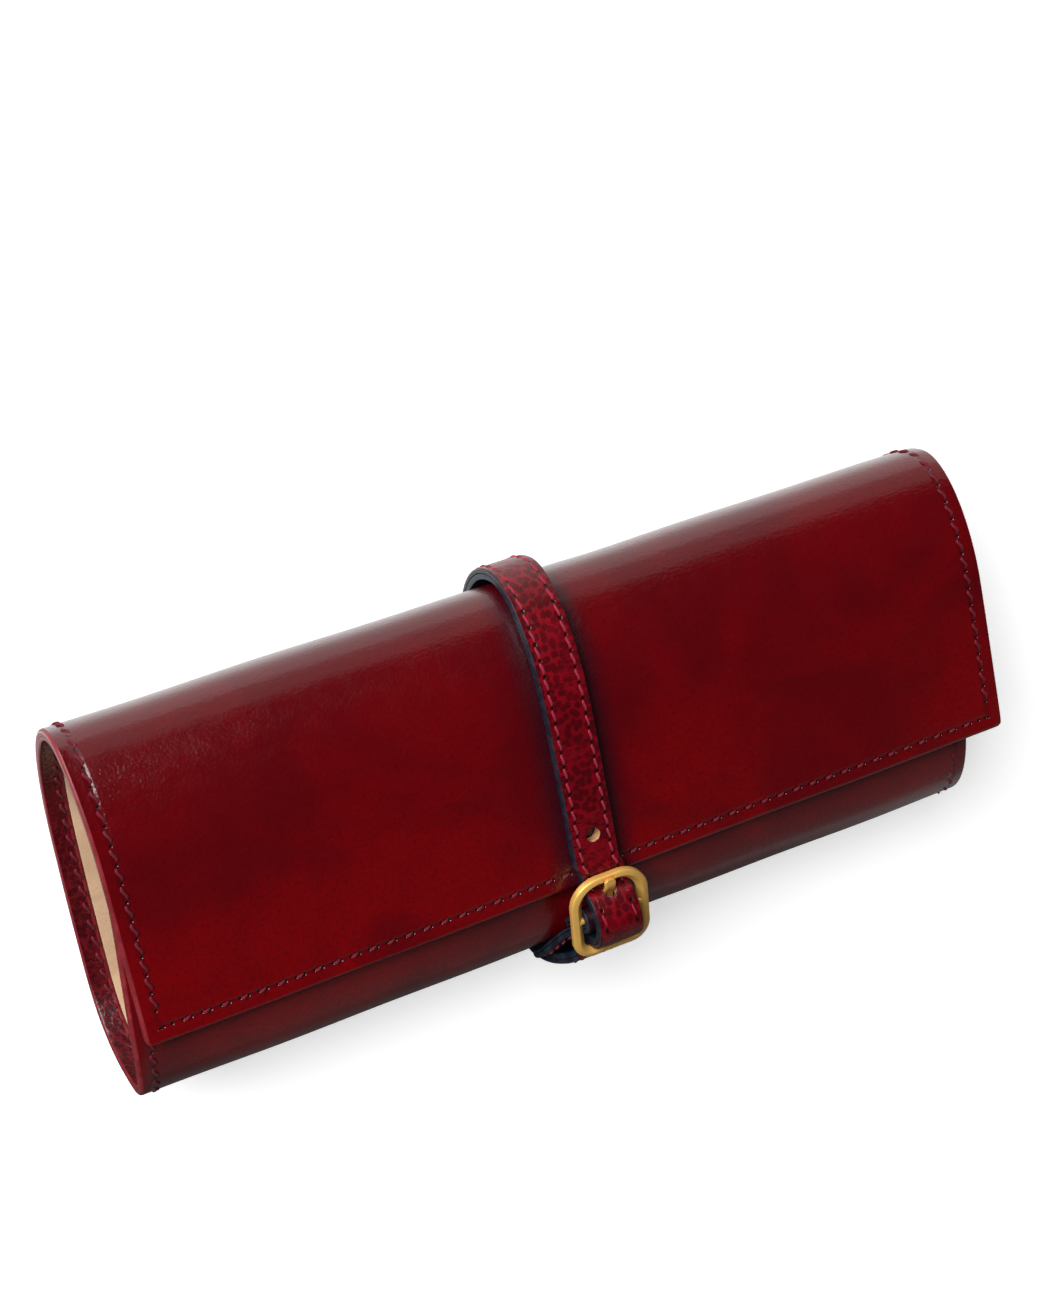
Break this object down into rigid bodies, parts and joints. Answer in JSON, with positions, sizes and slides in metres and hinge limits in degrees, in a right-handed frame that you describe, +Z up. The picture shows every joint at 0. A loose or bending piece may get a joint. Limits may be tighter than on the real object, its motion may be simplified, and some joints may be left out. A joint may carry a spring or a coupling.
{
  "type": "leather jewelry roll",
  "caption": "Flat oval roll of leather lined with suede, closed by a strap and buckle; its flap opens onto a zip pocket and a ring bar.",
  "frame": {"origin": "centre of the flat of the back, on the face that the roll rests on", "axes": "+X along the roll, +Y from the bottom fold towards the top fold that the flap hinges on, +Z up from the rest face towards the flap and the buckle"},
  "size_m": [0.2361, 0.1076, 0.0554],
  "materials": {
    "smooth_leather": "glossy waxed smooth leather",
    "grain_leather": "pebble-grained leather",
    "suede": "matte suede",
    "edge_backing": "satin, with painted edges",
    "gold": "satin gold plate",
    "zip_tape": "woven tape"
  },
  "bodies": {
    "back": {"back_panel": "smooth_leather", "back_panel_lining": "suede", "back_panel_band_left": "grain_leather", "back_panel_band_right": "grain_leather", "top_fold": "smooth_leather", "top_fold_lining": "suede", "top_fold_band_left": "grain_leather", "top_fold_band_right": "grain_leather", "bottom_fold": "smooth_leather", "bottom_fold_lining": "suede", "bottom_fold_band_left": "grain_leather", "bottom_fold_band_right": "grain_leather", "strap_fold_face": "grain_leather", "strap_fold_backing": "edge_backing", "buckle_strap_fold_face": "grain_leather", "buckle_strap_fold_backing": "edge_backing", "zip_pocket": "suede", "zip_tape_lower": "zip_tape", "zip_tape_upper": "zip_tape", "zip_teeth_lower": "gold", "zip_teeth_upper": "gold", "zip_stop_left": "gold", "zip_stop_right": "gold", "ring_bar_hinge_tab": "grain_leather", "press_stud_patch": "grain_leather", "press_stud_post": "gold"},
    "flap": {"flap": "smooth_leather", "flap_lining": "suede", "flap_band_left": "grain_leather", "flap_band_right": "grain_leather", "flap_edge_facing": "grain_leather"},
    "front_panel": {"front_panel": "smooth_leather", "front_panel_lining": "suede", "front_panel_band_left": "grain_leather", "front_panel_band_right": "grain_leather", "front_edge_facing": "grain_leather"},
    "strap": {"strap_face": "grain_leather", "strap_backing": "edge_backing", "strap_tip_face": "grain_leather", "strap_tip_backing": "edge_backing"},
    "buckle_strap": {"buckle_strap_face": "grain_leather", "buckle_strap_backing": "edge_backing"},
    "buckle_frame": {"buckle_frame": "gold"},
    "buckle_prong": {"buckle_prong": "gold"},
    "zip_slider": {"zip_slider": "gold"},
    "zip_pull": {"zip_pull": "gold"},
    "ring_bar": {"ring_bar": "suede", "ring_bar_tab": "grain_leather", "press_stud_socket": "gold", "press_stud_cap": "gold"}
  },
  "joints": [
    {"name": "flap_hinge", "type": "hinge", "parent": "back", "child": "flap", "pos_m": [0, 0.052, 0.026], "axis": [-1, 0, 0], "range_deg": [0, 150], "deforming": ["top_fold", "top_fold_lining", "top_fold_band_left", "top_fold_band_right", "strap_fold_face", "strap_fold_backing", "strap_tip_face", "strap_tip_backing"]},
    {"name": "front_panel_hinge", "type": "hinge", "parent": "back", "child": "front_panel", "pos_m": [0, -0.049, 0.021], "axis": [1, 0, 0], "range_deg": [0, 112.5], "deforming": ["bottom_fold", "bottom_fold_lining", "bottom_fold_band_left", "bottom_fold_band_right", "buckle_strap_fold_face", "buckle_strap_fold_backing", "strap_tip_face", "strap_tip_backing"]},
    {"name": "strap_lift", "type": "hinge", "parent": "flap", "child": "strap", "pos_m": [0, 0.026, 0.044], "axis": [-1, 0, 0], "range_deg": [0, 30], "deforming": ["strap_fold_face", "strap_fold_backing", "strap_tip_face", "strap_tip_backing"]},
    {"name": "buckle_strap_hinge", "type": "hinge", "parent": "front_panel", "child": "buckle_strap", "pos_m": [0, -0.049, 0.021], "axis": [1, 0, 0], "range_deg": [0, 40], "deforming": ["buckle_strap_fold_face", "buckle_strap_fold_backing", "strap_tip_face", "strap_tip_backing"]},
    {"name": "buckle_pivot", "type": "hinge", "parent": "buckle_strap", "child": "buckle_frame", "pos_m": [0.0028, -0.03379, 0.04911], "axis": [1, 0, 0], "range_deg": [0, 5], "deforming": ["strap_tip_face", "strap_tip_backing"]},
    {"name": "prong_pivot", "type": "hinge", "parent": "buckle_frame", "child": "buckle_prong", "pos_m": [0.0028, -0.03379, 0.04911], "axis": [1, 0, 0], "range_deg": [0, 80], "deforming": ["strap_tip_face", "strap_tip_backing"]},
    {"name": "zip_slide", "type": "slide", "parent": "back", "child": "zip_slider", "axis": [1, 0, 0], "range_m": [0, 0.14]},
    {"name": "zip_pull_hinge", "type": "hinge", "parent": "zip_slider", "child": "zip_pull", "pos_m": [-0.07, 0.00575, 0.00655], "axis": [0, -1, 0], "range_deg": [0, 90]},
    {"name": "ring_bar_hinge", "type": "hinge", "parent": "back", "child": "ring_bar", "pos_m": [-0.0403, -0.012, 0.0102], "axis": [0, -1, 0], "range_deg": [0, 15]}
  ],
  "couplings": [
    {"joint": "front_panel_hinge", "follows": "flap_hinge", "ratio": 0.75}
  ]
}
